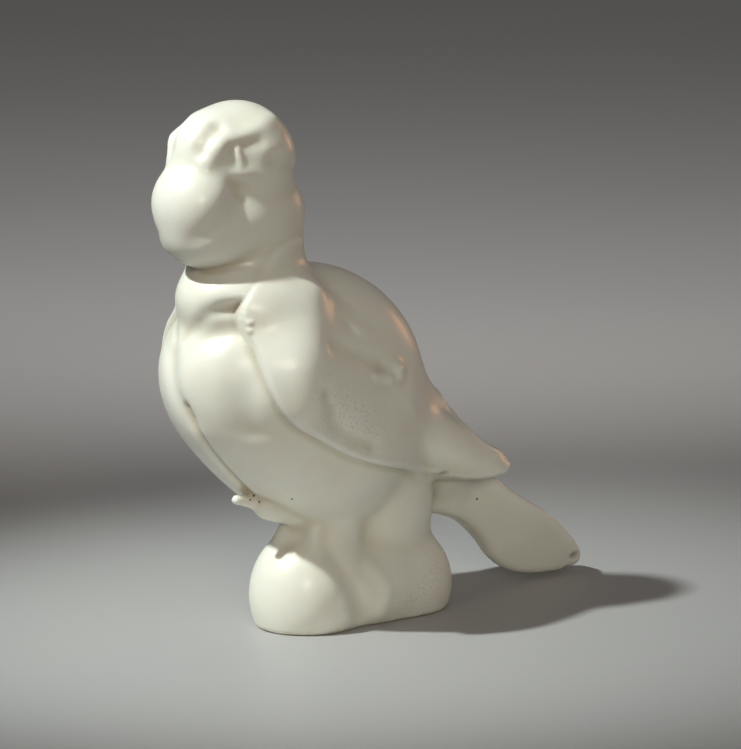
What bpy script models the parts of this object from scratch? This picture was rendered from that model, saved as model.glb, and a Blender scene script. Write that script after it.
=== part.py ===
"""A glazed ceramic bird on its rock, cast in one piece.

Metres, +Z up. The bird faces -Y and its left side is +X. The origin is in the rock's flat underside.

The clay is roughed out from egg-shaped lumps, limbs and the tail's side outline, which a Remesh fuses. Every
point is then settled onto one smooth field, in which the lumps melt into each other and the carving is
pressed in. Last, the figure is thinned to its final facets and cut off flat where it stands.
"""

import math

import bmesh
import bpy
import numpy as np
from mathutils import Euler, Matrix, Vector

HEIGHT = 0.150

# The pose, the proportions and the carving are shares of the height: a unit is a 150th of it, which is a
# millimetre at the real size. All that follows is in units and degrees.
UNIT = HEIGHT / 150

CLAY_PITCH = 1.2
SETTLING_ROUNDS = 7
FIGURE_TRIANGLES = 9200

# How softly the wing's crisp edge turns, at least as wide as a facet
CREASE = 2

# Lumps: centre, half lengths and turn about X, Y and Z
BREAST = (0, -32, 73), (28, 30.5, 27), (-8, 0, 0)
BELLY = (0, -19.4, 56.8), (26.5, 36.5, 26.6), (-35, 0, 0)
HAUNCH = (10, -18, 49), (15, 20, 14), (-20, 0, 0)
BACK = (0, -10, 78), (23, 29.5, 21.5), (-36, 0, 0)
RUFF = (2, -38.5, 94.5), (19, 21.6, 15), (-4, 0, 0)
WING_BLADE = (11, 18.5, 49), (10, 32, 8.8), (-27, 4, -7)
ROCK_FRONT = (5, -21, 9), (16, 17, 19), (0, 0, 0)
ROCK_MIDDLE = (2, -3.5, 9), (19.3, 22, 17), (0, 0, 0)
ROCK_REAR = (2.5, 11, 7), (17.5, 18, 18), (0, 0, 0)
COLUMN = (0, 5, 31), (17.5, 19, 22), (0, 0, 0)
TOE = (5.5, -33, 35.4), (4.5, 7, 3.6), (-18, 0, 0)

# Limbs: start, end and the radius at each
RUMP = (0, -2, 63), (0, 30, 42), 20.6, 12
NECK = (0, -38.5, 112), (0, -38, 100), 15.8, 16.5
ROCK_LIP = (2, -18, 20), (4, -25, 25), 8, 5
COLUMN_EDGE = (6, -16, 16), (6, -14, 34), 9.5, 10
ARRIS = (11.5, -23.5, 27.5), (13.4, -26.6, 18.5), 1.6, 1.8
FOOT = (7, -18, 31), (5, -35, 36), 4.5, 3.6
CLAW = (4, -38, 37.6), (4, -45, 39), 2.4, 1.2
CLAW_TIP = (4, -45, 39), (4, -46.6, 37.6), 1.2, 0.8

# The head has its own frame, turned a little to the bird's left
HEAD_CENTRE = (0, -40.8, 131.4)
HEAD_TURN = (0, 0, 8)
SKULL = (0, -0.6, 1.2), (17, 16.2, 17.3), (0, 0, 0)
FOREHEAD = (0, -9.6, 4.8), (11.6, 12.2, 12), (0, 0, 0)
CHEEKS = (0, 0.3, -13.2), (16.7, 19.7, 14.5), (0, 0, 0)
JAW = (0, -10.5, -16.5), (13.5, 15.2, 10.5), (0, 0, 0)
BEAK = (0, -16.7, -8), (12.5, 11, 12.3), (-20, 0, 0)

# The ruff hangs down in front as a bib, a little to the bird's right
BIB_MIDDLE = -3

# Side outlines, as Y and Z: the wing's lower front edge and the whole tail
WING_OUTLINE = (
    (-48, 101), (-52, 94), (-50.5, 85), (-48.5, 74), (-43.5, 65.5), (-35, 59), (-22.5, 52), (-11, 48), (0, 45),
    (11, 41), (25, 37.2), (37, 37), (44, 38.6), (45.8, 41.8), (41, 45), (34, 48), (28, 55), (24, 70), (10, 92),
    (-10, 108), (-35, 112),
)
TAIL_OUTLINE = (
    (14, 50), (40, 38), (52, 29.5), (66, 21), (75, 14), (81, 7.5), (82, 3.5), (79, 1.5), (72, 0.9), (63, 1.5),
    (55, 4), (49, 8.5), (44.5, 14.5), (38, 20.5), (30, 24), (18, 28),
)
TAIL_HALF_WIDTH = 7


def turning(degrees):
    """The rotation matrix of three angles about X, Y and Z."""
    return np.array(Euler([math.radians(angle) for angle in degrees]).to_matrix())


def left_side(points):
    """The same points, those on the bird's right mirrored to its left."""
    return np.column_stack([np.abs(points[:, 0]), points[:, 1], points[:, 2]])


def in_head(points):
    """The same points in the head's own frame."""
    return (points - HEAD_CENTRE) @ turning(HEAD_TURN)


def egg(points, centre, radii, turn):
    """Distance from an egg-shaped lump, below zero inside it."""
    local = (points - centre) @ turning(turn)
    near = np.linalg.norm(local / radii, axis=1)
    steep = np.linalg.norm(local / np.square(radii), axis=1)
    return near * (near - 1) / np.maximum(steep, 1e-6)


def limb(points, start, end, start_radius, end_radius):
    """Distance from a round limb that tapers from start to end."""
    start = np.array(start, float)
    axis = end - start
    share = np.clip((points - start) @ axis / (axis @ axis), 0, 1)
    radius = start_radius + (end_radius - start_radius) * share
    return np.linalg.norm(points - start - share[:, None] * axis, axis=1) - radius


def melt(first, second, width):
    """Two shapes run together over a soft join."""
    overlap = np.maximum(width - np.abs(first - second), 0) / width
    return np.minimum(first, second) - overlap**3 * width / 6


def within(first, second, width):
    """What lies in both shapes, over a soft edge."""
    return -melt(-first, -second, width)


def spot(points, centre, radii):
    """A soft spot: 1 at its centre, fading out over its radii."""
    return np.exp(-np.sum(np.square((points - centre) / radii), axis=1))


def stroke(points, path, width):
    """A soft stroke along a path: 1 on the path, fading out over its width."""
    near = np.full(len(points), np.inf)
    for start, end in zip(path, path[1:]):
        near = np.minimum(near, limb(points, start, end, 0, 0))
    return np.exp(-np.square(near / width))


def smooth_loop(corners, steps=4):
    """A smooth closed line through the corners."""
    corners = np.array(corners, float)
    before = np.roll(corners, 1, axis=0)
    after = np.roll(corners, -1, axis=0)
    beyond = np.roll(corners, -2, axis=0)
    rows = []
    for t in np.arange(steps) / steps:
        bend = (2 * before - 5 * corners + 4 * after - beyond) * t**2
        twist = (3 * corners - before - 3 * after + beyond) * t**3
        rows.append(corners + 0.5 * ((after - before) * t + bend + twist))
    return np.stack(rows, axis=1).reshape(-1, 2)


def from_outline(flat, line):
    """Distance of flat points from a closed line, below zero inside it."""
    near = np.full(len(flat), np.inf)
    inside = np.zeros(len(flat), bool)
    for start, end in zip(line, np.roll(line, -1, axis=0)):
        side = end - start
        y = flat[:, 0] - start[0]
        z = flat[:, 1] - start[1]
        share = np.clip((y * side[0] + z * side[1]) / (side @ side), 0, 1)
        near = np.minimum(near, (y - share * side[0]) ** 2 + (z - share * side[1]) ** 2)
        if side[1]:
            spans = (z < 0) != (z < side[1])
            inside ^= spans & (y < side[0] * z / side[1])
    return np.where(inside, -1, 1) * np.sqrt(near)


def head(points):
    """The head's lumps: skull, forehead, cheeks, jaw and the fat rounded beak."""
    p = in_head(points)
    skull = melt(egg(p, *SKULL), egg(p, *FOREHEAD), 5)
    face = melt(melt(skull, egg(p, *CHEEKS), 5), egg(p, *JAW), 5)
    return melt(face, egg(p, *BEAK), 5) + head_carving(left_side(p))


def head_carving(p):
    """How deep the carving goes into the head. What stands proud of it is below zero."""
    beside_bridge = [(6.7, -14.8, 12.4), (6.8, -18, 9.9), (6, -20, 7.2)]
    brow = [(9.2, -16, 8.6), (12.7, -9.8, 11), (13.2, -3.4, 13.2), (11, 3, 15)]
    bridge = [(7.4, -19.4, 3.5), (9.2, -16, 8.6)]
    under_brow = [(11.4, -13, 7.4), (12.8, -10.4, 8), (14.6, -6, 8.8)]
    eye_ridge = [(12, -11.8, 7), (12.4, -11, 2.8)]
    nape = [(16.4, -2.5, 2.8), (16.2, 3, 0.9), (12.5, 11.5, -1), (0, 16.5, -2)]
    gape = [(13, -13, -3), (12.3, -16, -8), (10.5, -19.5, -13), (6.5, -23, -17)]
    cheek_nick = [(11.2, -12.2, -5.5), (13.1, -10.4, -6.9)]
    return (
        1.8 * stroke(p, beside_bridge, 1.7)
        - 0.8 * stroke(p, bridge, 1.9)
        - 1.4 * stroke(p, brow, 2)
        + 1.1 * stroke(p, under_brow, 1.1)
        + 1.2 * spot(p, (15.5, -8, 4), (3.5, 3.8, 4))
        - 1.0 * stroke(p, eye_ridge, 0.7)
        - 0.9 * spot(p, (12.6, -10.6, 0.4), (2.6, 3.2, 1.5))
        + 1.4 * stroke(p, nape, 2.2)
        + 0.5 * stroke(p, gape, 3)
        + 0.25 * stroke(p, cheek_nick, 0.8)
    )


def trunk(points):
    """The body without wings, tail or head."""
    p = left_side(points)
    body = melt(egg(p, *BREAST), egg(p, *BELLY), 14)
    body = melt(body, egg(p, *HAUNCH), 8)
    body = melt(body, egg(p, *BACK), 10)
    body = melt(body, limb(p, *RUMP), 12)
    body = melt(body, egg(points, *RUFF), 6)
    return melt(body, limb(p, *NECK), 4)


def trunk_carving(points):
    """How deep the carving goes into the breast, drawn face on: the collar and the breast's folds."""
    face_on = points[:, [0, 2]]
    bib = np.column_stack([np.abs(points[:, 0] - BIB_MIDDLE), points[:, 2]])
    in_front = np.clip((-28 - points[:, 1]) / 12, 0, 1)
    near_side = 0.3 + 0.7 * np.clip((points[:, 0] - 3) / 10, 0, 1)
    collar = [(21, 95.5), (15.5, 95), (11, 93), (7.5, 90), (4, 87), (0, 83)]
    lobe_top = [(21, 91), (15.5, 90), (11, 88), (7.5, 85), (4, 82), (0, 78)]
    between_lobes = [(-4, 80), (-1, 71), (3, 64)]
    breast_line = [(2.5, 67), (4.3, 57), (4.4, 47), (4, 38)]
    beside_wing = [(19.6, 84), (19.7, 76), (18.7, 70), (18.2, 62)]
    breast = (
        near_side * (1.6 * stroke(bib, lobe_top, 4.2) + 1.2 * stroke(bib, collar, 1.8))
        + 1.5 * spot(bib, (18, 94.6), (5.5, 2.6))
        + 0.9 * stroke(face_on, between_lobes, 3)
        + 1.2 * stroke(face_on, breast_line, 1.3)
        + 1.3 * stroke(face_on, beside_wing, 4)
    )
    return in_front * breast


def wing(points, body):
    """The folded wings: a layer over the body with a crisp lower edge, and a free blade at the tip."""
    p = left_side(points)
    edge = from_outline(p[:, 1:], smooth_loop(WING_OUTLINE))
    below_back = np.clip((107 - 0.91 * (p[:, 1] + 32) - p[:, 2]) / 14, 0, 1)
    off_neck = 1 - spot(p, (14, -48, 102), (16, 15, 11))
    layer = below_back * off_neck * (1.6 + 1.3 * spot(p, (22, -42, 82), (12, 9, 22)))
    folded = within(within(body - layer, edge, CREASE), 6 - p[:, 0], 2)
    blade = within(egg(p, *WING_BLADE), edge, 3)
    between_blades = [(0, 16, 62), (0, 28, 54), (0, 41, 45)]
    return melt(folded, blade, 4) + wing_carving(p, edge) + 1.2 * stroke(p, between_blades, 1.8)


def wing_carving(p, edge):
    """How deep the carving goes into the wing, with a thin rim along its edge."""
    hollow = [(29, -29, 84), (27.5, -19, 80), (26.5, -11.5, 76)]
    knob_foot = [(26.8, -14, 73.6), (26, -8, 72.4)]
    furrow = [(30.2, -34.8, 71.7), (29.6, -30.8, 62.8), (29.2, -27, 59.2), (28.5, -17, 54.2)]
    band = [(22.5, -29, 98), (26, -36, 89), (28.5, -38.5, 79), (29, -38.5, 69)]
    below_shoulder = np.clip((p[:, 1] + 46) / 12, 0, 1)
    return (
        1.3 * stroke(p, hollow, 3)
        + 1.0 * stroke(p, furrow, 2.6)
        - 1.7 * spot(p, (25.5, -3.5, 74.2), (4, 2.7, 2.4))
        - 1.1 * stroke(p, knob_foot, 1.2)
        - 0.6 * spot(p, (24, 2.6, 65.5), (5, 5, 5))
        - 0.5 * spot(p, (30, -21.5, 63.5), (5, 7, 7))
        - 0.7 * spot(p, (21.5, -46, 95), (8, 8, 8))
        - 2.2 * stroke(p, band, 7)
        - 0.4 * below_shoulder * np.exp(-np.square((edge + 1.2) / 0.9))
    )


def tail(points):
    """The thick tail, narrower below than above, that slopes down to a round tip."""
    y = points[:, 1]
    off_middle = np.abs(points[:, 0] - 0.04 * (y - 20))
    above_axis = 0.85 * (points[:, 2] - 36 + 0.62 * (y - 30))
    root_taper = 0.2 * np.maximum(32 - y, 0)
    tip_taper = 0.003 * np.square(np.maximum(y - 50, 0))
    half_width = TAIL_HALF_WIDTH + 0.3 * above_axis - root_taper - tip_taper
    return within(from_outline(points[:, 1:], smooth_loop(TAIL_OUTLINE)), off_middle - half_width, 5)


def rock(points):
    """The rock: a round mound in front, a lower mass behind, and the column that carries the bird."""
    mound = melt(egg(points, *ROCK_FRONT), limb(points, *ROCK_LIP), 6)
    behind = melt(egg(points, *ROCK_MIDDLE), egg(points, *ROCK_REAR), 6)
    column = melt(egg(points, *COLUMN), limb(points, *COLUMN_EDGE), 5)
    whole = melt(melt(mound, behind, 6), column, 7)
    whole = melt(whole, limb(points, *ARRIS), 3)
    valley = [(17.5, -22, 22), (20.5, -17.5, 14), (20.5, -13.5, 5)]
    ridge = [(18.4, -9, 17), (21.5, -5, 11), (20.8, -6.5, 4)]
    under_foot = (7, -29, 24), (4, 4, 5)
    whole = whole + 1.5 * stroke(points, valley, 3.2) - 0.7 * stroke(points, ridge, 2.5)
    return whole + 1.6 * spot(points, *under_foot)


def foot(points):
    """The foot that grips the rock under the breast, with one hooked claw."""
    toe = melt(limb(points, *FOOT), egg(points, *TOE), 2)
    return melt(melt(toe, limb(points, *CLAW), 2), limb(points, *CLAW_TIP), 1)


def figure_field(points):
    """The whole figure, below zero inside the clay."""
    body = trunk(points)
    whole = melt(body + trunk_carving(points), head(points), 2)
    whole = melt(whole, wing(points, body), CREASE / 2)
    whole = melt(whole, tail(points), 8)
    whole = melt(whole, rock(points), 6)
    return melt(whole, foot(points), 1.5)


def add_egg(clay, centre, radii, turn, frame):
    """A ball, stretched and turned into an egg-shaped lump of clay."""
    place = Matrix.Translation(centre) @ Matrix(turning(turn)).to_4x4() @ Matrix.Diagonal((*radii, 1))
    bmesh.ops.create_icosphere(clay, subdivisions=4, radius=1, matrix=frame @ place)


def add_limb(clay, start, end, start_radius, end_radius):
    """A row of balls that overlap closely enough to fuse into a limb."""
    start = Vector(start)
    axis = Vector(end) - start
    count = 2 + math.ceil(2 * axis.length / min(start_radius, end_radius))
    for ball in range(count):
        share = ball / (count - 1)
        radius = start_radius + (end_radius - start_radius) * share
        place = Matrix.Translation(start + axis * share)
        bmesh.ops.create_icosphere(clay, subdivisions=2, radius=radius, matrix=place)


def add_tail(clay):
    """The tail's side outline, extruded across its width."""
    corners = [clay.verts.new((-TAIL_HALF_WIDTH, y, z)) for y, z in TAIL_OUTLINE]
    side = clay.faces.new(corners)
    made = bmesh.ops.extrude_face_region(clay, geom=[side])["geom"]
    moved = [piece for piece in made if isinstance(piece, bmesh.types.BMVert)]
    bmesh.ops.translate(clay, verts=moved, vec=(2 * TAIL_HALF_WIDTH, 0, 0))
    shell = {face for corner in corners + moved for face in corner.link_faces}
    bmesh.ops.recalc_face_normals(clay, faces=list(shell))


def rough_clay():
    """All the lumps and limbs in one mesh, still overlapping."""
    clay = bmesh.new()
    body_frame = Matrix.Identity(4)
    head_frame = Matrix.Translation(HEAD_CENTRE) @ Matrix(turning(HEAD_TURN)).to_4x4()
    for lump in (BREAST, BELLY, BACK, RUFF, ROCK_FRONT, ROCK_MIDDLE, ROCK_REAR, COLUMN, TOE):
        add_egg(clay, *lump, body_frame)
    for side in (1, -1):
        for (x, y, z), radii, (tip, lean, yaw) in (HAUNCH, WING_BLADE):
            add_egg(clay, (side * x, y, z), radii, (tip, side * lean, side * yaw), body_frame)
    for lump in (SKULL, FOREHEAD, CHEEKS, JAW, BEAK):
        add_egg(clay, *lump, head_frame)
    for branch in (RUMP, NECK, ROCK_LIP, COLUMN_EDGE, ARRIS, FOOT, CLAW, CLAW_TIP):
        add_limb(clay, *branch)
    add_tail(clay)
    mesh = bpy.data.meshes.new("bird_on_rock")
    clay.to_mesh(mesh)
    clay.free()
    return mesh


def fuse(figure):
    """One closed skin around all the lumps, of even facets."""
    remesh = figure.modifiers.new("fuse", "REMESH")
    remesh.mode = "VOXEL"
    remesh.voxel_size = CLAY_PITCH
    evaluated = figure.evaluated_get(bpy.context.evaluated_depsgraph_get())
    rough = figure.data
    figure.data = bpy.data.meshes.new_from_object(evaluated)
    figure.modifiers.remove(remesh)
    bpy.data.meshes.remove(rough)


def slope(points, value):
    """The field's gradient at the points, where it has this value."""
    step = 0.05
    ahead = [figure_field(points + step * axis) for axis in np.eye(3)]
    return (np.stack(ahead, axis=1) - value[:, None]) / step


def settle(mesh):
    """Moves every point onto the field, and keeps the facets even as it goes."""
    points = np.empty(len(mesh.vertices) * 3)
    mesh.vertices.foreach_get("co", points)
    points = points.reshape(-1, 3)
    edges = np.empty(len(mesh.edges) * 2, int)
    mesh.edges.foreach_get("vertices", edges)
    ends = np.concatenate([edges.reshape(-1, 2), edges.reshape(-1, 2)[:, ::-1]])
    neighbours = np.bincount(ends[:, 0])
    for turn in range(SETTLING_ROUNDS):
        value = figure_field(points)
        gradient = slope(points, value)
        steepness = np.maximum(np.sum(gradient**2, axis=1), 0.1)
        step = -(value / steepness)[:, None] * gradient
        length = np.linalg.norm(step, axis=1, keepdims=True)
        points = points + step * np.minimum(1, CLAY_PITCH / np.maximum(length, 1e-9))
        if turn < SETTLING_ROUNDS - 2:
            middle = [np.bincount(ends[:, 0], points[ends[:, 1], i]) / neighbours for i in range(3)]
            drift = 0.5 * (np.stack(middle, axis=1) - points)
            outward = gradient / np.sqrt(steepness)[:, None]
            points = points + drift - np.sum(drift * outward, axis=1)[:, None] * outward
    mesh.vertices.foreach_set("co", points.reshape(-1))
    mesh.update()


def thin_out(figure):
    """Fewer and larger facets where the surface is calm."""
    figure.data.calc_loop_triangles()
    decimate = figure.modifiers.new("facets", "DECIMATE")
    decimate.ratio = FIGURE_TRIANGLES / len(figure.data.loop_triangles)


def stand_flat(figure):
    """Cuts the rock off flat at Z = 0 with a block that stays out of the render."""
    bpy.ops.mesh.primitive_cube_add(size=1, location=(0, 0, -20 * UNIT))
    block = bpy.context.object
    block.name = "ground_block"
    block.scale = (120 * UNIT, 240 * UNIT, 40 * UNIT)
    block.display_type = "WIRE"
    block.hide_render = True
    cut = figure.modifiers.new("flat underside", "BOOLEAN")
    cut.operation = "DIFFERENCE"
    cut.object = block


def glazed_ceramic():
    """Warm ivory glaze."""
    material = bpy.data.materials.new("glazed_ceramic")
    material.use_nodes = True
    surface = material.node_tree.nodes["Principled BSDF"]
    surface.inputs["Base Color"].default_value = (0.78, 0.72, 0.60, 1)
    surface.inputs["Roughness"].default_value = 0.15
    surface.inputs["Metallic"].default_value = 0
    return material


def main():
    for thing in list(bpy.data.objects):
        bpy.data.objects.remove(thing)
    figure = bpy.data.objects.new("bird_on_rock", rough_clay())
    bpy.context.scene.collection.objects.link(figure)
    fuse(figure)
    settle(figure.data)
    figure.data.transform(Matrix.Scale(UNIT, 4))
    figure.data.shade_smooth()
    figure.data.materials.append(glazed_ceramic())
    thin_out(figure)
    stand_flat(figure)


if __name__ == "__main__":
    main()
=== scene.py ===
"""The looks of the glazed ceramic bird on its rock.

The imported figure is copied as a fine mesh, and every point of the copy is settled onto the figure's own
smooth field, with the worn places and the flat foot in it. Sizes are in the figure's units, which are
millimetres, until the mesh is scaled to metres.
"""

import math

import bmesh
import bpy
import numpy as np
from mathutils import Euler, Matrix, Vector


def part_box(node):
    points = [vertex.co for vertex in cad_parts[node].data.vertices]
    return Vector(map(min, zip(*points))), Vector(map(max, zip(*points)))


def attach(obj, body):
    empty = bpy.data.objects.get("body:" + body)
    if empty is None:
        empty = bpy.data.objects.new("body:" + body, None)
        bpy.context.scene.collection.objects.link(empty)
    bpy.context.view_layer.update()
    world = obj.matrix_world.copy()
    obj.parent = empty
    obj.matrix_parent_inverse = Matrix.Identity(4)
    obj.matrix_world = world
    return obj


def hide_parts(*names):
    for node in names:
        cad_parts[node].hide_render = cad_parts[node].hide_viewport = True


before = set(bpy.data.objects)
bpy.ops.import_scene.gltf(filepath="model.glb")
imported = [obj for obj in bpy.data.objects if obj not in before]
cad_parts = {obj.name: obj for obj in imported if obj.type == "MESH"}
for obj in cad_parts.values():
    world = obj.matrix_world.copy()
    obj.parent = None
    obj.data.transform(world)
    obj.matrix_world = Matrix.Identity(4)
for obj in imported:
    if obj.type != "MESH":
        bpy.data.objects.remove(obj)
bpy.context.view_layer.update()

NODE = "bird_on_rock"

# The figure is 150 units high, and its crown flattens by a tenth of a unit where its facets are thinned
FIGURE_HEIGHT = 149.9
UNIT = (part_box(NODE)[1].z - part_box(NODE)[0].z) / FIGURE_HEIGHT

# The fine mesh: the size of its facets, and how often its points are settled, at first and later
MESH_PITCH = 0.75
SETTLING_ROUNDS = 5
REFININGS = 2
ROUNDS_AFTER_REFINING = 2

# How softly the wing's edge meets the body, and how round the foot's edge is
CREASE = 1.3
FOOT_ROUNDING = 1.6

# Lumps: centre, half lengths and turn about X, Y and Z
BREAST = (0, -32, 73), (28, 30.5, 27), (-8, 0, 0)
BELLY = (0, -19.4, 56.8), (26.5, 36.5, 26.6), (-35, 0, 0)
HAUNCH = (10, -18, 49), (15, 20, 14), (-20, 0, 0)
BACK = (0, -10, 78), (23, 29.5, 21.5), (-36, 0, 0)
RUFF = (2, -38.5, 94.5), (19, 21.6, 15), (-4, 0, 0)
WING_BLADE = (11, 18.5, 49), (10, 32, 8.8), (-27, 4, -7)
ROCK_FRONT = (5, -21, 9), (16, 17, 19), (0, 0, 0)
ROCK_MIDDLE = (2, -3.5, 9), (19.3, 22, 17), (0, 0, 0)
ROCK_REAR = (2.5, 11, 7), (17.5, 18, 18), (0, 0, 0)
COLUMN = (0, 5, 31), (17.5, 19, 22), (0, 0, 0)
TOE = (5.5, -33, 35.4), (4.5, 7, 3.6), (-18, 0, 0)

# Limbs: start, end and the radius at each
RUMP = (0, -2, 63), (0, 30, 42), 20.6, 12
NECK = (0, -38.5, 112), (0, -38, 100), 15.8, 16.5
ROCK_LIP = (2, -18, 20), (4, -25, 25), 8, 5
COLUMN_EDGE = (6, -16, 16), (6, -14, 34), 9.5, 10
ARRIS = (11.5, -23.5, 27.5), (13.4, -26.6, 18.5), 1.6, 1.8
FOOT = (7, -18, 31), (5, -35, 36), 4.5, 3.6
CLAW = (4, -38, 37.6), (4, -45, 39), 2.4, 1.2
CLAW_TIP = (4, -45, 39), (4, -46.6, 37.6), 1.2, 0.8

# Chips in the glaze: centre, half lengths, depth and height of the rim
TAIL_CHIP = (7.2, 78.2, 5.6), (2.6, 1.7, 1.1), 1.2, 0.5
TIP_BREAK = (6.2, 76.4, 1.9), (2.6, 1.1, 0.8), 0.7, 0.2
WING_CHIP = (17, 18.9, 39.9), (1.8, 1.3, 0.9), 0.8, 0.4
CHIPS = TAIL_CHIP, TIP_BREAK, WING_CHIP
REFINED_AROUND_CHIPS = 4.5
RIM_SPREAD = 1.5
# How far the chips' painted dark brown, part exposed body and part painted shade, spreads beyond their size
CHIP_DARK_SPREAD = 0.9

# Two drops of glaze: their centres, height and half lengths
GLAZE_DROPS = (19, -51.3, 91.5), (18.9, -51.3, 89.3)
DROP_HEIGHT = 0.45
DROP_RADII = (1, 1, 0.9)

# Pinholes and specks in the glaze: centre and radius
SPECKS = (
    ((5.9, -40.4, 39.8), 0.55), ((5.7, -41.6, 38.8), 0.35), ((6.8, -39.3, 38.1), 0.35),
    ((14.8, -33.9, 39.6), 0.45), ((7.3, 39.5, 28.3), 0.45),
)

# Where the glaze is matt and granular: a path and its half width
MATT_WING = ((31, -34, 69), (28.5, -15, 59)), 6.5
MATT_ROCK = ((19, 16, 12), (20, 2, 3)), 6
BARE_RIM_HEIGHT = 1.8

# How far a point is from the middle of its neighbours where the glaze is fully pooled or fully thin
FULL_HOLLOW = 0.05
HOLLOW_SMOOTHINGS = 4

# Grains per metre of the noises
CLOUDS_PER_METRE = 45
WAVES_PER_METRE = 170
CLAY_PATCHES_PER_METRE = 260
ROUGHNESS_PER_METRE = 1100
GRAINS_PER_METRE = 1500
FLOOR_CLOUDS_PER_METRE = 3

# Roughness of the glossy glaze, of the matt places and of the floor
GLAZE_ROUGHNESS = 0.38
MATT_ROUGHNESS = 0.7
FLOOR_ROUGHNESS = 0.5

# The middle of the pool of light on the floor behind the figure
BEHIND = (-0.62, 0.5, 0)

# Colours of the glaze, of the clay under it, of the exposed body and painted shade in the chips, and of the
# floor
IVORY = (0.84, 0.83, 0.74)
WARM_IVORY = (0.80, 0.775, 0.665)
POOLED_GLAZE = (0.58, 0.51, 0.37)
THIN_GLAZE = (0.86, 0.85, 0.79)
GRAIN = (0.55, 0.50, 0.38)
BARE_CLAY = (0.62, 0.53, 0.36)
# Dark brown painted into the chips: partly the exposed body, partly painted shade in their hollows
CHIP_BROWN_AND_SHADE = (0.20, 0.13, 0.08)
SPECK = (0.05, 0.04, 0.03)
FLOOR_GREY = (0.42, 0.412, 0.405)
PALE_FLOOR_GREY = (0.47, 0.462, 0.455)

# The head has its own frame, turned a little to the bird's left
HEAD_CENTRE = (0, -40.8, 131.4)
HEAD_TURN = (0, 0, 8)
SKULL = (0, -0.6, 1.2), (17, 16.2, 17.3), (0, 0, 0)
FOREHEAD = (0, -9.6, 4.8), (11.6, 12.2, 12), (0, 0, 0)
CHEEKS = (0, 0.3, -13.2), (16.7, 19.7, 14.5), (0, 0, 0)
JAW = (0, -10.5, -16.5), (13.5, 15.2, 10.5), (0, 0, 0)
BEAK = (0, -16.7, -8), (12.5, 11, 12.3), (-20, 0, 0)

# The ruff hangs down in front as a bib, a little to the bird's right
BIB_MIDDLE = -3

# Side outlines, as Y and Z: the wing's lower front edge and the whole tail
WING_OUTLINE = (
    (-48, 101), (-52, 94), (-50.5, 85), (-48.5, 74), (-43.5, 65.5), (-35, 59), (-22.5, 52), (-11, 48),
    (0, 45), (11, 41), (25, 37.2), (37, 37), (44, 38.6), (45.8, 41.8), (41, 45), (34, 48), (28, 55),
    (24, 70), (10, 92), (-10, 108), (-35, 112),
)
TAIL_OUTLINE = (
    (14, 50), (40, 38), (52, 29.5), (66, 21), (75, 14), (81, 7.5), (82, 3.5), (79, 1.5), (72, 0.9), (63, 1.5),
    (55, 4), (49, 8.5), (44.5, 14.5), (38, 20.5), (30, 24), (18, 28),
)
TAIL_HALF_WIDTH = 7


def turning(degrees):
    """The rotation matrix of three angles about X, Y and Z."""
    return np.array(Euler([math.radians(angle) for angle in degrees]).to_matrix())


def left_side(points):
    """The same points, those on the bird's right mirrored to its left."""
    return np.column_stack([np.abs(points[:, 0]), points[:, 1], points[:, 2]])


def in_head(points):
    """The same points in the head's own frame."""
    return (points - HEAD_CENTRE) @ turning(HEAD_TURN)


def egg(points, centre, radii, turn):
    """Distance from an egg-shaped lump, below zero inside it."""
    local = (points - centre) @ turning(turn)
    near = np.linalg.norm(local / radii, axis=1)
    steep = np.linalg.norm(local / np.square(radii), axis=1)
    return near * (near - 1) / np.maximum(steep, 1e-6)


def limb(points, start, end, start_radius, end_radius):
    """Distance from a round limb that tapers from start to end."""
    start = np.array(start, float)
    axis = end - start
    share = np.clip((points - start) @ axis / (axis @ axis), 0, 1)
    radius = start_radius + (end_radius - start_radius) * share
    return np.linalg.norm(points - start - share[:, None] * axis, axis=1) - radius


def melt(first, second, width):
    """Two shapes run together over a soft join."""
    overlap = np.maximum(width - np.abs(first - second), 0) / width
    return np.minimum(first, second) - overlap**3 * width / 6


def within(first, second, width):
    """What lies in both shapes, over a soft edge."""
    return -melt(-first, -second, width)


def spot(points, centre, radii):
    """A soft spot: 1 at its centre, fading out over its radii."""
    return np.exp(-np.sum(np.square((points - centre) / radii), axis=1))


def stroke(points, path, width):
    """A soft stroke along a path: 1 on the path, fading out over its width."""
    near = np.full(len(points), np.inf)
    for start, end in zip(path, path[1:]):
        near = np.minimum(near, limb(points, start, end, 0, 0))
    return np.exp(-np.square(near / width))


def smooth_loop(corners, steps=4):
    """A smooth closed line through the corners."""
    corners = np.array(corners, float)
    before = np.roll(corners, 1, axis=0)
    after = np.roll(corners, -1, axis=0)
    beyond = np.roll(corners, -2, axis=0)
    rows = []
    for t in np.arange(steps) / steps:
        bend = (2 * before - 5 * corners + 4 * after - beyond) * t**2
        twist = (3 * corners - before - 3 * after + beyond) * t**3
        rows.append(corners + 0.5 * ((after - before) * t + bend + twist))
    return np.stack(rows, axis=1).reshape(-1, 2)


def from_outline(flat, line):
    """Distance of flat points from a closed line, below zero inside it."""
    near = np.full(len(flat), np.inf)
    inside = np.zeros(len(flat), bool)
    for start, end in zip(line, np.roll(line, -1, axis=0)):
        side = end - start
        y = flat[:, 0] - start[0]
        z = flat[:, 1] - start[1]
        share = np.clip((y * side[0] + z * side[1]) / (side @ side), 0, 1)
        near = np.minimum(near, (y - share * side[0]) ** 2 + (z - share * side[1]) ** 2)
        if side[1]:
            spans = (z < 0) != (z < side[1])
            inside ^= spans & (y < side[0] * z / side[1])
    return np.where(inside, -1, 1) * np.sqrt(near)


def head(points):
    """The head's lumps: skull, forehead, cheeks, jaw and the fat rounded beak."""
    p = in_head(points)
    skull = melt(egg(p, *SKULL), egg(p, *FOREHEAD), 5)
    face = melt(melt(skull, egg(p, *CHEEKS), 5), egg(p, *JAW), 5)
    return melt(face, egg(p, *BEAK), 5) + head_carving(left_side(p))


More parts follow.
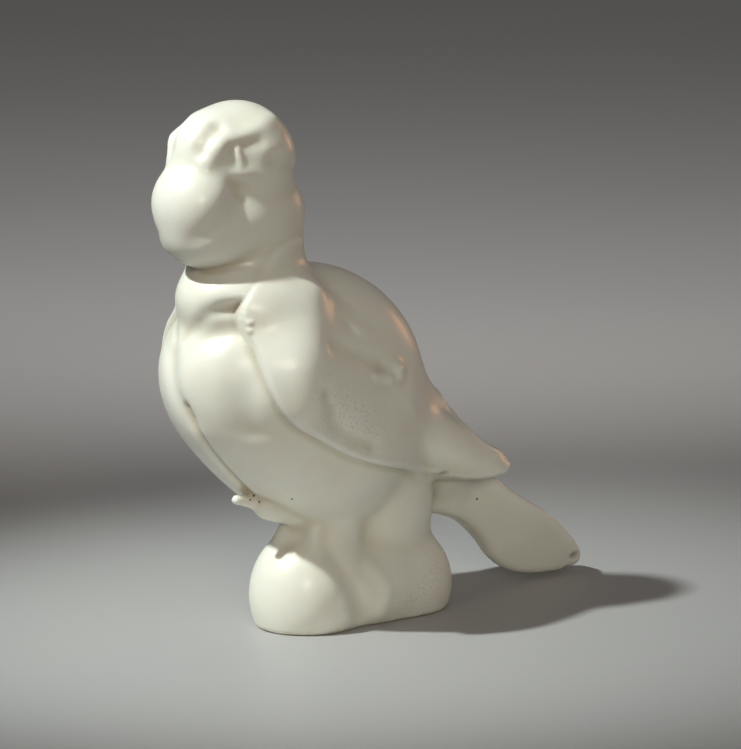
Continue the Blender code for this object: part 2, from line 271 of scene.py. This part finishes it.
def head_carving(p):
    """How deep the carving goes into the head, a little softer than in the solid; below zero is proud."""
    beside_bridge = [(6.7, -14.8, 12.4), (6.8, -18, 9.9), (6, -20, 7.2)]
    brow = [(9.2, -16, 8.6), (12.7, -9.8, 11), (13.2, -3.4, 13.2), (11, 3, 15)]
    bridge = [(7.4, -19.4, 3.5), (9.2, -16, 8.6)]
    under_brow = [(11.4, -13, 7.4), (12.8, -10.4, 8), (14.6, -6, 8.8)]
    eye_ridge = [(12, -11.8, 7), (12.4, -11, 2.8)]
    nape = [(16.4, -2.5, 2.8), (16.2, 3, 0.9), (12.5, 11.5, -1), (0, 16.5, -2)]
    gape = [(13, -13, -3), (12.3, -16, -8), (10.5, -19.5, -13), (6.5, -23, -17)]
    cheek_nick = [(11.2, -12.2, -5.5), (13.1, -10.4, -6.9)]
    return (
        1.3 * stroke(p, beside_bridge, 2.1)
        - 0.6 * stroke(p, bridge, 2.2)
        - 0.7 * stroke(p, brow, 2.8)
        + 0.6 * stroke(p, under_brow, 1.9)
        + 0.8 * spot(p, (15.5, -8, 4), (5, 5.4, 6))
        - 0.9 * stroke(p, eye_ridge, 0.9)
        - 0.8 * spot(p, (12.6, -10.6, 0.4), (2.8, 3.4, 1.9))
        + 1.0 * stroke(p, nape, 2.8)
        + 0.5 * stroke(p, gape, 3)
        + 0.25 * stroke(p, cheek_nick, 0.8)
    )


def trunk(points):
    """The body without wings, tail or head."""
    p = left_side(points)
    body = melt(egg(p, *BREAST), egg(p, *BELLY), 14)
    body = melt(body, egg(p, *HAUNCH), 8)
    body = melt(body, egg(p, *BACK), 10)
    body = melt(body, limb(p, *RUMP), 12)
    body = melt(body, egg(points, *RUFF), 6)
    return melt(body, limb(p, *NECK), 4)


def trunk_carving(points):
    """How deep the carving goes into the breast, drawn face on: the collar and the breast's folds."""
    face_on = points[:, [0, 2]]
    bib = np.column_stack([np.abs(points[:, 0] - BIB_MIDDLE), points[:, 2]])
    in_front = np.clip((-28 - points[:, 1]) / 12, 0, 1)
    near_side = 0.3 + 0.7 * np.clip((points[:, 0] - 3) / 10, 0, 1)
    collar = [(21, 95.5), (15.5, 95), (11, 93), (7.5, 90), (4, 87), (0, 83)]
    lobe_top = [(21, 91), (15.5, 90), (11, 88), (7.5, 85), (4, 82), (0, 78)]
    between_lobes = [(-4, 80), (-1, 71), (3, 64)]
    breast_line = [(2.5, 67), (4.3, 57), (4.4, 47), (4, 38)]
    beside_wing = [(19.6, 84), (19.7, 76), (18.7, 70), (18.2, 62)]
    breast = (
        near_side * (1.6 * stroke(bib, lobe_top, 4.2) + 1.2 * stroke(bib, collar, 1.8))
        + 1.5 * spot(bib, (18, 94.6), (5.5, 2.6))
        + 0.9 * stroke(face_on, between_lobes, 3)
        + 1.2 * stroke(face_on, breast_line, 1.3)
        + 1.3 * stroke(face_on, beside_wing, 4)
    )
    return in_front * breast


def wing(points, body):
    """The folded wings: a layer over the body with a crisp lower edge, and a free blade at the tip."""
    p = left_side(points)
    edge = from_outline(p[:, 1:], smooth_loop(WING_OUTLINE))
    below_back = np.clip((107 - 0.91 * (p[:, 1] + 32) - p[:, 2]) / 14, 0, 1)
    off_neck = 1 - spot(p, (14, -48, 102), (16, 15, 11))
    layer = below_back * off_neck * (1.6 + 1.3 * spot(p, (22, -42, 82), (12, 9, 22)))
    folded = within(within(body - layer, edge, CREASE), 6 - p[:, 0], 2)
    blade = within(egg(p, *WING_BLADE), edge, 3)
    between_blades = [(0, 16, 62), (0, 28, 54), (0, 41, 45)]
    return melt(folded, blade, 4) + wing_carving(p, edge) + 1.2 * stroke(p, between_blades, 1.8)


def wing_carving(p, edge):
    """How deep the carving goes into the wing, with a thin rim along its edge."""
    hollow = [(29, -29, 84), (27.5, -19, 80), (26.5, -11.5, 76)]
    knob_foot = [(26.8, -14, 73.6), (26, -8, 72.4)]
    furrow = [(30.2, -34.8, 71.7), (29.6, -30.8, 62.8), (29.2, -27, 59.2), (28.5, -17, 54.2)]
    band = [(22.5, -29, 98), (26, -36, 89), (28.5, -38.5, 79), (29, -38.5, 69)]
    below_shoulder = np.clip((p[:, 1] + 46) / 12, 0, 1)
    return (
        1.3 * stroke(p, hollow, 3)
        + 1.0 * stroke(p, furrow, 2.6)
        - 1.7 * spot(p, (25.5, -3.5, 74.2), (4, 2.7, 2.4))
        - 1.1 * stroke(p, knob_foot, 1.2)
        - 0.6 * spot(p, (24, 2.6, 65.5), (5, 5, 5))
        - 0.5 * spot(p, (30, -21.5, 63.5), (5, 7, 7))
        - 0.7 * spot(p, (21.5, -46, 95), (8, 8, 8))
        - 2.2 * stroke(p, band, 7)
        - 0.4 * below_shoulder * np.exp(-np.square((edge + 1.2) / 0.9))
    )


def tail(points):
    """The thick tail, narrower below than above, that slopes down to a round tip."""
    y = points[:, 1]
    off_middle = np.abs(points[:, 0] - 0.04 * (y - 20))
    above_axis = 0.85 * (points[:, 2] - 36 + 0.62 * (y - 30))
    root_taper = 0.2 * np.maximum(32 - y, 0)
    tip_taper = 0.003 * np.square(np.maximum(y - 50, 0))
    half_width = TAIL_HALF_WIDTH + 0.3 * above_axis - root_taper - tip_taper
    return within(from_outline(points[:, 1:], smooth_loop(TAIL_OUTLINE)), off_middle - half_width, 5)


def rock(points):
    """The rock: a round mound in front, a lower mass behind, and the column that carries the bird."""
    mound = melt(egg(points, *ROCK_FRONT), limb(points, *ROCK_LIP), 6)
    behind = melt(egg(points, *ROCK_MIDDLE), egg(points, *ROCK_REAR), 6)
    column = melt(egg(points, *COLUMN), limb(points, *COLUMN_EDGE), 5)
    whole = melt(melt(mound, behind, 6), column, 7)
    whole = melt(whole, limb(points, *ARRIS), 3)
    valley = [(17.5, -22, 22), (20.5, -17.5, 14), (20.5, -13.5, 5)]
    ridge = [(18.4, -9, 17), (21.5, -5, 11), (20.8, -6.5, 4)]
    under_foot = (7, -29, 24), (4, 4, 5)
    whole = whole + 1.5 * stroke(points, valley, 3.2) - 0.7 * stroke(points, ridge, 2.5)
    return whole + 1.6 * spot(points, *under_foot)


def foot(points):
    """The foot that grips the rock under the breast, with one hooked claw."""
    toe = melt(limb(points, *FOOT), egg(points, *TOE), 2)
    return melt(melt(toe, limb(points, *CLAW), 2), limb(points, *CLAW_TIP), 1)


def figure_field(points):
    """The whole figure, below zero inside the clay."""
    body = trunk(points)
    whole = melt(body + trunk_carving(points), head(points), 2)
    whole = melt(whole, wing(points, body), CREASE / 2)
    whole = melt(whole, tail(points), 8)
    whole = melt(whole, rock(points), 6)
    return melt(whole, foot(points), 1.5)


def wear(points):
    """How deep the chips go, with their raised rims and two drops of glaze below zero."""
    depth = np.zeros(len(points))
    for centre, radii, deep, rim in CHIPS:
        depth += (deep + rim) * spot(points, centre, radii)
        depth -= rim * spot(points, centre, np.multiply(radii, RIM_SPREAD))
    for centre in GLAZE_DROPS:
        depth -= DROP_HEIGHT * spot(points, centre, DROP_RADII)
    return depth


def standing_field(points):
    """The worn figure with its flat foot, whose edge is softly rounded."""
    return within(figure_field(points) + wear(points), -points[:, 2], FOOT_ROUNDING)


def slope(points, value):
    """The field's gradient at the points, where it has this value."""
    step = 0.05
    ahead = [standing_field(points + step * axis) for axis in np.eye(3)]
    return (np.stack(ahead, axis=1) - value[:, None]) / step


def fine_copy(node):
    """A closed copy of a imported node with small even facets, in the figure's units."""
    piece = bpy.data.objects.new("fine_figure", node.data.copy())
    bpy.context.scene.collection.objects.link(piece)
    piece.data.transform(Matrix.Scale(1 / UNIT, 4))
    weld = piece.modifiers.new("weld", "WELD")
    weld.merge_threshold = 0.001
    remesh = piece.modifiers.new("even facets", "REMESH")
    remesh.mode = "VOXEL"
    remesh.voxel_size = MESH_PITCH
    evaluated = piece.evaluated_get(bpy.context.evaluated_depsgraph_get())
    coarse = piece.data
    piece.data = bpy.data.meshes.new_from_object(evaluated)
    piece.modifiers.clear()
    bpy.data.meshes.remove(coarse)
    return piece


def points_of(mesh):
    """A mesh's points as an array."""
    points = np.empty(len(mesh.vertices) * 3)
    mesh.vertices.foreach_get("co", points)
    return points.reshape(-1, 3)


def neighbour_pairs(mesh):
    """Every edge both ways, as pairs of points, and how many neighbours each point has."""
    edges = np.empty(len(mesh.edges) * 2, int)
    mesh.edges.foreach_get("vertices", edges)
    pairs = np.concatenate([edges.reshape(-1, 2), edges.reshape(-1, 2)[:, ::-1]])
    return pairs, np.bincount(pairs[:, 0])


def mean_around(values, pairs, neighbours):
    """The mean of each point's neighbours."""
    return np.bincount(pairs[:, 0], values[pairs[:, 1]]) / neighbours


def middles_around(points, pairs, neighbours):
    """The middle of each point's neighbours."""
    return np.stack([mean_around(points[:, i], pairs, neighbours) for i in range(3)], axis=1)


def settle(mesh, rounds):
    """Moves every point onto the field, and keeps the facets even as it goes."""
    points = points_of(mesh)
    pairs, neighbours = neighbour_pairs(mesh)
    for turn in range(rounds):
        value = standing_field(points)
        gradient = slope(points, value)
        steepness = np.maximum(np.sum(gradient**2, axis=1), 0.1)
        step = -(value / steepness)[:, None] * gradient
        length = np.linalg.norm(step, axis=1, keepdims=True)
        points = points + step * np.minimum(1, MESH_PITCH / np.maximum(length, 1e-9))
        if turn < rounds - 2:
            drift = 0.5 * (middles_around(points, pairs, neighbours) - points)
            outward = gradient / np.sqrt(steepness)[:, None]
            points = points + drift - np.sum(drift * outward, axis=1)[:, None] * outward
    mesh.vertices.foreach_set("co", points.reshape(-1))
    mesh.update()


def refine(mesh):
    """Halves the facets around the chips and the drops."""
    detail = bmesh.new()
    detail.from_mesh(mesh)
    centres = [Vector(chip[0]) for chip in CHIPS] + [Vector(centre) for centre in GLAZE_DROPS]
    close = []
    for edge in detail.edges:
        middle = (edge.verts[0].co + edge.verts[1].co) / 2
        if min((middle - centre).length for centre in centres) < REFINED_AROUND_CHIPS:
            close.append(edge)
    bmesh.ops.subdivide_edges(detail, edges=close, cuts=1, use_grid_fill=True)
    detail.to_mesh(mesh)
    detail.free()


def store(mesh, name, values):
    """Keeps a value from 0 to 1 at every point of the mesh, for its material."""
    layer = mesh.attributes.new(name, "FLOAT", "POINT")
    layer.data.foreach_set("value", np.clip(values, 0, 1))


def mark_surface(mesh):
    """Where the glaze is matt, pooled or thin, where the clay is bare, and where the chips get their brown
    body and painted shade.
    """
    points = points_of(mesh)
    pairs, neighbours = neighbour_pairs(mesh)
    normals = np.empty(len(points) * 3)
    mesh.vertex_normals.foreach_get("vector", normals)
    normals = normals.reshape(-1, 3)
    hollow = np.sum((middles_around(points, pairs, neighbours) - points) * normals, axis=1)
    for _ in range(HOLLOW_SMOOTHINGS):
        hollow = mean_around(hollow, pairs, neighbours)
    # The chips' painted dark: exposed brown body and painted shade in the hollows
    chip_body_and_shade = sum(spot(points, centre, np.multiply(radii, CHIP_DARK_SPREAD)) for centre, radii, _, _ in CHIPS)
    left = left_side(points)
    store(mesh, "pooled", hollow / FULL_HOLLOW)
    store(mesh, "thin", -hollow / FULL_HOLLOW)
    store(mesh, "chip_body_and_shade", chip_body_and_shade)
    store(mesh, "matt", stroke(left, *MATT_WING) + stroke(points, *MATT_ROCK))
    store(mesh, "bare", (BARE_RIM_HEIGHT - points[:, 2]) / BARE_RIM_HEIGHT)


def add_node(tree, kind, **values):
    """A shader node with some of its input values set."""
    made = tree.nodes.new(kind)
    for name, value in values.items():
        made.inputs[name.replace("_", " ")].default_value = value
    return made


def noise(tree, place, per_metre, detail):
    """A grey noise, in grains per metre."""
    made = add_node(tree, "ShaderNodeTexNoise", Scale=per_metre, Detail=detail)
    tree.links.new(place, made.inputs["Vector"])
    return made.outputs["Fac"]


def stored(tree, name):
    """A value kept at the mesh's points."""
    made = tree.nodes.new("ShaderNodeAttribute")
    made.attribute_name = name
    return made.outputs["Fac"]


def spread(tree, value, low, high, to_low, to_high):
    """A value's range from low to high, stretched onto another range."""
    made = add_node(tree, "ShaderNodeMapRange", From_Min=low, From_Max=high, To_Min=to_low, To_Max=to_high)
    tree.links.new(value, made.inputs["Value"])
    return made.outputs["Result"]


def times(tree, first, second):
    """The product of two values, of which the second may be a number."""
    made = tree.nodes.new("ShaderNodeMath")
    made.operation = "MULTIPLY"
    tree.links.new(first, made.inputs[0])
    if isinstance(second, (int, float)):
        made.inputs[1].default_value = second
    else:
        tree.links.new(second, made.inputs[1])
    return made.outputs["Value"]


def dullness(tree):
    """How matt or bare the surface is, whichever is more."""
    made = tree.nodes.new("ShaderNodeMath")
    made.operation = "MAXIMUM"
    tree.links.new(stored(tree, "matt"), made.inputs[0])
    tree.links.new(stored(tree, "bare"), made.inputs[1])
    return made.outputs["Value"]


def blend(tree, share, first, second):
    """A colour between two colours, of which the first may be an output."""
    made = tree.nodes.new("ShaderNodeMix")
    made.data_type = "RGBA"
    tree.links.new(share, made.inputs["Factor"])
    if isinstance(first, tuple):
        made.inputs["A"].default_value = (*first, 1)
    else:
        tree.links.new(first, made.inputs["A"])
    made.inputs["B"].default_value = (*second, 1)
    return made.outputs["Result"]


def speck_mask(tree, place, centre, radius):
    """1 within a small ball around a pinhole, fading out at its edge."""
    made = tree.nodes.new("ShaderNodeVectorMath")
    made.operation = "DISTANCE"
    made.inputs[1].default_value = [value * UNIT for value in centre]
    tree.links.new(place, made.inputs[0])
    return spread(tree, made.outputs["Value"], 0.6 * radius * UNIT, radius * UNIT, 1, 0)


def glaze_colour(tree, place):
    """Ivory that drifts, warmer where pooled and paler where thin, with grain, clay, the chips' brown body
    and painted shade, and specks.
    """
    clouds = spread(tree, noise(tree, place, CLOUDS_PER_METRE, 3), 0.35, 0.65, 0, 1)
    colour = blend(tree, clouds, IVORY, WARM_IVORY)
    colour = blend(tree, times(tree, stored(tree, "pooled"), 0.75), colour, POOLED_GLAZE)
    colour = blend(tree, times(tree, stored(tree, "thin"), 0.5), colour, THIN_GLAZE)
    grain = spread(tree, noise(tree, place, GRAINS_PER_METRE, 2), 0.5, 0.72, 0, 0.55)
    colour = blend(tree, times(tree, grain, stored(tree, "matt")), colour, GRAIN)
    clay = spread(tree, noise(tree, place, CLAY_PATCHES_PER_METRE, 4), 0.38, 0.58, 0, 1)
    colour = blend(tree, times(tree, clay, stored(tree, "bare")), colour, BARE_CLAY)
    # The chips are painted dark brown: partly the exposed body, partly painted shade in their hollows
    colour = blend(tree, times(tree, stored(tree, "chip_body_and_shade"), 0.85), colour, CHIP_BROWN_AND_SHADE)
    for centre, radius in SPECKS:
        colour = blend(tree, speck_mask(tree, place, centre, radius), colour, SPECK)
    return colour


def glaze_relief(tree, place):
    """A faint waviness all over, and a fine grain where the glaze is matt or the clay bare."""
    wavy = add_node(tree, "ShaderNodeBump", Strength=0.25, Distance=0.00025)
    tree.links.new(noise(tree, place, WAVES_PER_METRE, 2), wavy.inputs["Height"])
    grainy = add_node(tree, "ShaderNodeBump", Distance=0.00012)
    tree.links.new(times(tree, dullness(tree), 0.8), grainy.inputs["Strength"])
    tree.links.new(noise(tree, place, ROUGHNESS_PER_METRE, 3), grainy.inputs["Height"])
    tree.links.new(wavy.outputs["Normal"], grainy.inputs["Normal"])
    return grainy.outputs["Normal"]


def glazed_ceramic():
    """Warm ivory glaze over a body that lets a little light through."""
    material = bpy.data.materials.new("glazed_ceramic")
    material.use_nodes = True
    tree = material.node_tree
    surface = tree.nodes["Principled BSDF"]
    place = tree.nodes.new("ShaderNodeTexCoord").outputs["Object"]
    roughness = spread(tree, dullness(tree), 0, 1, GLAZE_ROUGHNESS, MATT_ROUGHNESS)
    tree.links.new(glaze_colour(tree, place), surface.inputs["Base Color"])
    tree.links.new(roughness, surface.inputs["Roughness"])
    tree.links.new(glaze_relief(tree, place), surface.inputs["Normal"])
    surface.inputs["Subsurface Weight"].default_value = 0.18
    surface.inputs["Subsurface Radius"].default_value = (1, 0.45, 0.22)
    surface.inputs["Subsurface Scale"].default_value = 0.003
    surface.inputs["Coat Weight"].default_value = 0.15
    surface.inputs["Coat Roughness"].default_value = 0.12
    return material


def dress_figure():
    """The fine figure in its glaze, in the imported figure's place."""
    piece = fine_copy(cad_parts[NODE])
    settle(piece.data, SETTLING_ROUNDS)
    for _ in range(REFININGS):
        refine(piece.data)
        settle(piece.data, ROUNDS_AFTER_REFINING)
    mark_surface(piece.data)
    piece.data.transform(Matrix.Scale(UNIT, 4))
    piece.data.shade_smooth()
    piece.data.materials.clear()
    piece.data.materials.append(glazed_ceramic())
    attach(piece, "root")
    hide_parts(NODE)


# The camera: the photograph's picture size, and where the origin of the frame falls in it
PICTURE_WIDTH = 741
PICTURE_HEIGHT = 749
ORIGIN_PIXEL = (355, 609)
PIXELS_PER_METRE = 3475
CAMERA_AZIMUTH = 51.5
CAMERA_ELEVATION = 10.5
CAMERA_DISTANCE = 1.1


def heading(azimuth, elevation):
    """The direction from the figure towards an azimuth, counted as for the camera, and an elevation."""
    turn = math.radians(azimuth)
    rise = math.radians(elevation)
    return Vector((math.sin(turn) * math.cos(rise), -math.cos(turn) * math.cos(rise), math.sin(rise)))


def photo_camera():
    """The camera at the photograph's viewing angle."""
    back = heading(CAMERA_AZIMUTH, CAMERA_ELEVATION)
    right = Vector((0, 0, 1)).cross(back).normalized()
    up = back.cross(right)
    across = (PICTURE_WIDTH / 2 - ORIGIN_PIXEL[0]) / PIXELS_PER_METRE
    down = (PICTURE_HEIGHT / 2 - ORIGIN_PIXEL[1]) / PIXELS_PER_METRE
    target = right * across - up * down
    lens = bpy.data.cameras.new("photo_camera")
    lens.lens = lens.sensor_width * CAMERA_DISTANCE * PIXELS_PER_METRE / max(PICTURE_WIDTH, PICTURE_HEIGHT)
    camera = bpy.data.objects.new("photo_camera", lens)
    camera.location = target + back * CAMERA_DISTANCE
    camera.rotation_euler = back.to_track_quat("Z", "Y").to_euler()
    bpy.context.scene.collection.objects.link(camera)
    bpy.context.scene.camera = camera


def studio_pool(name, aim, azimuth, elevation, distance, half_angle, size, power, colour):
    """A round lamp whose soft-edged cone lights one pool around the aim."""
    bpy.ops.object.light_add(type="SPOT")
    lamp = bpy.context.object
    lamp.name = name
    lamp.data.energy = power
    lamp.data.color = colour
    lamp.data.shadow_soft_size = size / 2
    lamp.data.spot_size = 2 * math.radians(half_angle)
    lamp.data.spot_blend = 1
    toward = heading(azimuth, elevation)
    lamp.location = Vector(aim) + toward * distance
    lamp.rotation_euler = toward.to_track_quat("Z", "Y").to_euler()


def studio_lights():
    """A cool key from the left, a warm fill by the camera, an orange rim light, a pool behind, a dim room."""
    studio_pool(
        "key", aim=(0, -0.045, 0.06), azimuth=CAMERA_AZIMUTH - 65, elevation=52, distance=1.0,
        half_angle=10.5, size=0.04, power=47, colour=(0.93, 1.0, 0.98),
    )
    studio_pool(
        "fill", aim=(0, 0, 0.08), azimuth=CAMERA_AZIMUTH + 8, elevation=18, distance=1.3,
        half_angle=11, size=0.4, power=24, colour=(1.0, 0.93, 0.8),
    )
    studio_pool(
        "warm_rim", aim=(0, 0, 0.07), azimuth=CAMERA_AZIMUTH + 138, elevation=9, distance=0.9,
        half_angle=9, size=0.7, power=21, colour=(1.0, 0.47, 0.24),
    )
    studio_pool(
        "backdrop", aim=BEHIND, azimuth=CAMERA_AZIMUTH, elevation=45, distance=1.1,
        half_angle=39, size=0.1, power=22, colour=(1.0, 0.99, 0.98),
    )
    world = bpy.data.worlds.new("room")
    bpy.context.scene.world = world
    world.use_nodes = True
    room = world.node_tree.nodes["Background"]
    room.inputs["Color"].default_value = (0.135, 0.132, 0.13, 1)
    room.inputs["Strength"].default_value = 1


def plain_view():
    """Shows brightness and colour as they are, with no film curve."""
    bpy.context.scene.view_settings.view_transform = "Standard"


def pale_floor():
    """A wide plain pale floor."""
    material = bpy.data.materials.new("pale_floor")
    material.use_nodes = True
    tree = material.node_tree
    surface = tree.nodes["Principled BSDF"]
    place = tree.nodes.new("ShaderNodeTexCoord").outputs["Object"]
    clouds = noise(tree, place, FLOOR_CLOUDS_PER_METRE, 2)
    tree.links.new(blend(tree, clouds, FLOOR_GREY, PALE_FLOOR_GREY), surface.inputs["Base Color"])
    surface.inputs["Roughness"].default_value = FLOOR_ROUGHNESS
    mesh = bpy.data.meshes.new("pale_floor")
    floor = bmesh.new()
    bmesh.ops.create_grid(floor, x_segments=1, y_segments=1, size=6)
    floor.to_mesh(mesh)
    floor.free()
    mesh.materials.append(material)
    ground = bpy.data.objects.new("pale_floor", mesh)
    bpy.context.scene.collection.objects.link(ground)


dress_figure()
pale_floor()
studio_lights()
plain_view()
photo_camera()
